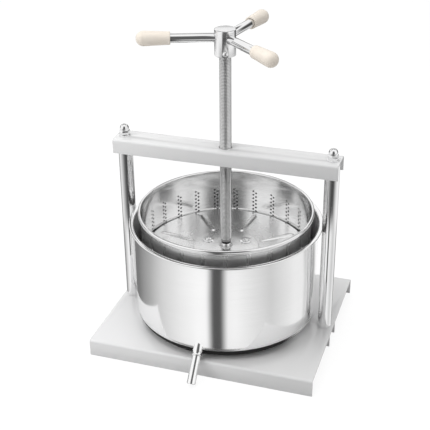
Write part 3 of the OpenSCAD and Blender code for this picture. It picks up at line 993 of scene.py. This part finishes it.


# %% [markdown]
# The screw is turned, not polished. Its crests are bright from use, and the bottom of the thread is
# darker. The distance from the axis tells the two apart. The thrust washer under the screw is a real
# part. Its near black is painted shade for the dark gap under the screw's shoulder.

# %% Turned steel of the screw


def screw_steel():
    steel = Finish("screw_steel", Metallic=1.0)
    angle, radius, high = steel.around()
    crest = radius.between(6.9 * MM, 7.8 * MM)
    grime = steel.noise(steel.place(), 90.0, 4.0, 0.6)
    worn = crest * (grime * 0.5 + 0.6)
    steel.put("Base Color", steel.blend(worn.math("MINIMUM", 1.0), grey(0.45), grey(0.93)))
    steel.put("Roughness", 0.27 - crest * 0.13 + grime * 0.04)
    steel.bump(steel.noise(steel.place(), 900.0, 2.0), 0.15, 0.00003)
    return steel.material


def dark_steel():
    steel = Finish("dark_steel", Metallic=0.8)
    grime = steel.noise(steel.place(), 300.0, 3.0)
    # Nearly black: on the thrust washer this is painted shade for the gap under the screw's shoulder.
    steel.put("Base Color", steel.blend(grime.between(0.3, 0.7), grey(0.03), grey(0.09)))
    steel.put("Roughness", grime * 0.2 + 0.3)
    steel.bump(grime, 0.2, 0.00004)
    return steel.material


# %% [markdown]
# The grips are soft ivory plastic. It is warm and never glossy, with the fine grain of a dipped skin
# and a slightly uneven tone.

# %% Ivory grips


def ivory():
    skin = Finish("grip_rubber", Specular_IOR_Level=0.4)
    place = skin.place()
    tone = skin.noise(place, 45.0, 4.0, 0.6)
    colour = skin.blend(tone.between(0.35, 0.7), (0.86, 0.785, 0.695, 1), (0.89, 0.82, 0.73, 1))
    skin.put("Base Color", colour)
    skin.put("Roughness", tone * 0.15 + 0.38)
    grain = skin.noise(place, 1400.0, 2.0)
    skin.bump(grain * 0.4 + tone, 0.2, 0.00006)
    return skin.material


# %% [markdown]
# Each piece now takes the finish of its slot. The CAD pieces that nobody sees from above, such as
# the nuts under the plate, keep their own shape and get the same finishes.

# %% Paint every piece
pot_zones_with_painted_shade = [
    Zone(100, 131, top=22, tone=0.95, extra=0.20),
    Zone(20, 129.4, top=150, tone=0.90, extra=0.45),
    # Painted shade: lower down, the inside of the pot is darker because the narrow gap behind the basket
    # lies in shade. Round the front it is nearly black.
    Zone(20, 129.4, top=121, tone=0.80, extra=0.0),
    Zone(20, 129.4, top=121, tone=0.05, extra=0.0, front=True),
]
basket_zones_with_painted_shade = [
    # Painted shade: the walls of the drain holes are nearly black.
    Zone(118.45, 119.0, top=150, tone=0.06, extra=0.2),
    Zone(119.2, 121, top=162, tone=0.80, extra=0.40),
]
finishes = {
    "white_coat": white_coat(),
    "polished_steel": polished_steel(),
    "pot_steel": spun_steel("pot_steel", 0.93, 0.97, 0.10, 0.03, 0.2, pot_zones_with_painted_shade),
    "basket_steel": spun_steel("basket_steel", 0.83, 0.93, 0.10, 0.12, 1.0, basket_zones_with_painted_shade, lined=True),
    "plate_steel": spun_steel("plate_steel", 0.92, 0.97, 0.23, 0.08, 0.6),
    "screw_steel": screw_steel(),
    "dark_steel": dark_steel(),
    "grip_rubber": ivory(),
}
slots = {entry["node"]: entry["material_slot"] for entry in frame["record"]["subparts"]}


def paint(piece, slot):
    piece.data.materials.clear()
    piece.data.materials.append(finishes[slot])


for piece, node in made:
    paint(piece, slots[node])
replaced = {node for piece, node in made}
for node, piece in frame["nodes"].items():
    paint(piece, slots[node])
print("CAD pieces that stay:", sorted(set(frame["nodes"]) - replaced))

# %% [markdown]
# A mirror in an all white room looks like nothing. So a photographer hangs dark flags round polished
# metal, and their reflections draw the stripes that show its roundness. Here the surround holds
# those flags. It is white to the camera, an even light to matt surfaces, and only reflections see
# the flags in it. Each flag is a soft-edged range of compass directions, and some have a range of
# heights too.

# %% Directions in the surround
CAMERA_SIDE = math.degrees(math.atan2(camera.location.y - AXIS.y, camera.location.x - AXIS.x))
print("the camera stands at", round(CAMERA_SIDE, 1), "degrees")


class Surround(Finish):
    def __init__(self, holder):
        self.material = holder
        self.material.use_nodes = True
        self.tree = self.material.node_tree
        self.tree.nodes.clear()

    def directions(self):
        across, deep, high = self.split(self.node("ShaderNodeTexCoord", output="Generated"))
        turned = math.radians(CAMERA_SIDE)
        ahead = across * math.cos(turned) + deep * math.sin(turned)
        aside = deep * math.cos(turned) - across * math.sin(turned)
        return aside.math("ARCTAN2", ahead) * math.degrees(1), high.math("ARCSINE") * math.degrees(1)

    def rays(self):
        kinds = [self.node("ShaderNodeLightPath", output=kind)
                 for kind in ("Is Camera Ray", "Is Glossy Ray", "Is Transmission Ray")]
        return kinds[0], kinds[1].math("MAXIMUM", kinds[2])

    def strip(self, value, *stops):
        ramp = [((place + 180) / 360, tone) for place, tone in stops]
        return self.node("ShaderNodeValToRGB", {"stops": ramp}, {0: value / 360 + 0.5})

    def background(self, colour, strength):
        return self.node("ShaderNodeBackground", {}, {"Color": colour, "Strength": strength})

    def mix(self, factor, first, second):
        return self.node("ShaderNodeMixShader", {}, {0: factor, 1: first, 2: second})


def flag(value, low, high, soft_low, soft_high):
    past_low = value.between(low - soft_low, low + soft_low)
    return past_low * (1 - value.between(high - soft_high, high + soft_high))


# %% [markdown]
# The flags are painted as three strips of grey tones round the horizon. A bearing of 0 is towards the
# camera. The low strip is what the pot mirrors, the middle one is for the columns and the high one
# for the hub. Five more flags lie over them. A tall one behind the camera darkens the level arms,
# and one far below it their undersides. The one behind the press and the one far to the right draw
# dark outlines round white metal, and the one high up makes the dark rings on the cap nuts.

# %% Light the surround
surround = Surround(bpy.data.worlds.new("surround"))
bearing, height = surround.directions()
camera_rays, mirror_rays = surround.rays()
low_strip = surround.strip(
    bearing, (-180, 0.20), (-144, 0.20), (-110, 0.43), (-88, 0.67), (-60, 0.875), (-36, 1), (-25, 1),
    (-17, 0.09), (-7, 0.09), (1.5, 0.93), (12, 0.95), (57, 0.65), (95, 0.88), (112, 0.88), (126, 0.2),
    (138, 0.2), (152, 1),
)
middle_strip = surround.strip(
    bearing, (-180, 0.25), (-136, 0.3), (-116, 0.75), (-92, 0.85), (-67, 0.6), (-47, 0.4), (-30, 0.2),
    (-12, 0.1), (5, 0.06), (24, 0.1), (40, 0.35), (70, 0.8), (106, 1), (137, 0.76), (165, 0.3),
)
high_strip = surround.strip(
    bearing, (-180, 0.15), (-160, 0.15), (-145, 1), (-80, 1), (-52, 0.58), (-28, 0.42), (-13, 0.18),
    (-2, 0.2), (14, 0.6), (30, 0.7), (60, 0.73), (95, 0.62), (150, 0.5), (165, 0.15),
)
over_pot = height.between(-29, -27.5)
over_columns = height.between(-23, -20)
bright = low_strip * (1 - over_pot) + middle_strip * over_pot
bright = bright * (1 - over_columns) + high_strip * over_columns
bright = bright + (1 - bright) * height.between(-14, -4)
flags = [
    flag(bearing, -29, 29, 8, 8) * (1 - height.between(50, 62)) * height.between(-22, -12) * 0.88,
    flag(bearing, -85, 85, 25, 25) * (1 - height.between(-45, -38)) * 0.88,
    (1 - flag(bearing, -110, 106, 8, 8)) * flag(height, -14.5, 10, 1, 4) * 0.85,
    flag(bearing, 106, 152, 8, 6) * flag(height, 0, 24, 6, 6) * 0.85,
    (1 - flag(bearing, -115, 115, 12, 12)) * flag(height, 40, 62, 3, 6) * 0.85,
]
for shade in flags:
    bright = bright * (1 - shade)
mirrored = surround.vector(bright, bright, bright)
matt = surround.background(grey(1), 0.55)
shown = surround.background(grey(1), 1.0)
seen = surround.background(mirrored, 1.0)
view = surround.mix(camera_rays, surround.mix(mirror_rays, matt, seen), shown)
surround.node("ShaderNodeOutputWorld", {}, {"Surface": view})
bpy.context.scene.world = surround.material

# %% [markdown]
# The floor is white too. The camera sees it nearly plain white, with the press's soft shadow on it.
# In reflections the floor is left out, so that the flags show below the horizon as well.

# %% Lay the floor
clear_selection()
bpy.ops.mesh.primitive_plane_add(size=16, location=(0, 0, 0))
floor = bpy.context.object
floor.name = "floor"
ground = Surround(bpy.data.materials.new("floor"))
camera_rays, mirror_rays = ground.rays()
matt = ground.node("ShaderNodeBsdfDiffuse", {}, {"Color": grey(0.68)})
glow = ground.node("ShaderNodeEmission", {}, {"Color": grey(1), "Strength": 1.15})
gone = ground.node("ShaderNodeBsdfTransparent", {}, {"Color": grey(1)})
view = ground.mix(mirror_rays, ground.mix(camera_rays * 0.78, matt, glow), gone)
ground.node("ShaderNodeOutputMaterial", {}, {"Surface": view})
floor.data.materials.append(ground.material)

# %% [markdown]
# A large soft lamp overhead lights everything that faces up, and a small one at the front left gives
# the upright faces a tone that falls off to the right. Both are left out of reflections, where they
# would be hard white patches.

# %% Hang the lamps


def lamp(name, place, target, size, power):
    light = bpy.data.lights.new(name, "AREA")
    light.shape = "SQUARE"
    light.size = size
    light.energy = power
    holder = bpy.data.objects.new(name, light)
    bpy.context.scene.collection.objects.link(holder)
    holder.location = place
    holder.rotation_euler = (Vector(target) - Vector(place)).to_track_quat("-Z", "Y").to_euler()
    holder.visible_glossy = False
    print("lamp", name, "of", power, "W")


lamp("top", (-0.4, -0.1, 2.6), (0, 0, 0.1), 1.8, 32)
lamp("side", (-0.72, -0.62, 0.58), (0, 0, 0.2), 0.4, 2.4)

# %% [markdown]
# The last cell brings the scene up to date.

# %% Update the scene
bpy.context.view_layer.update()
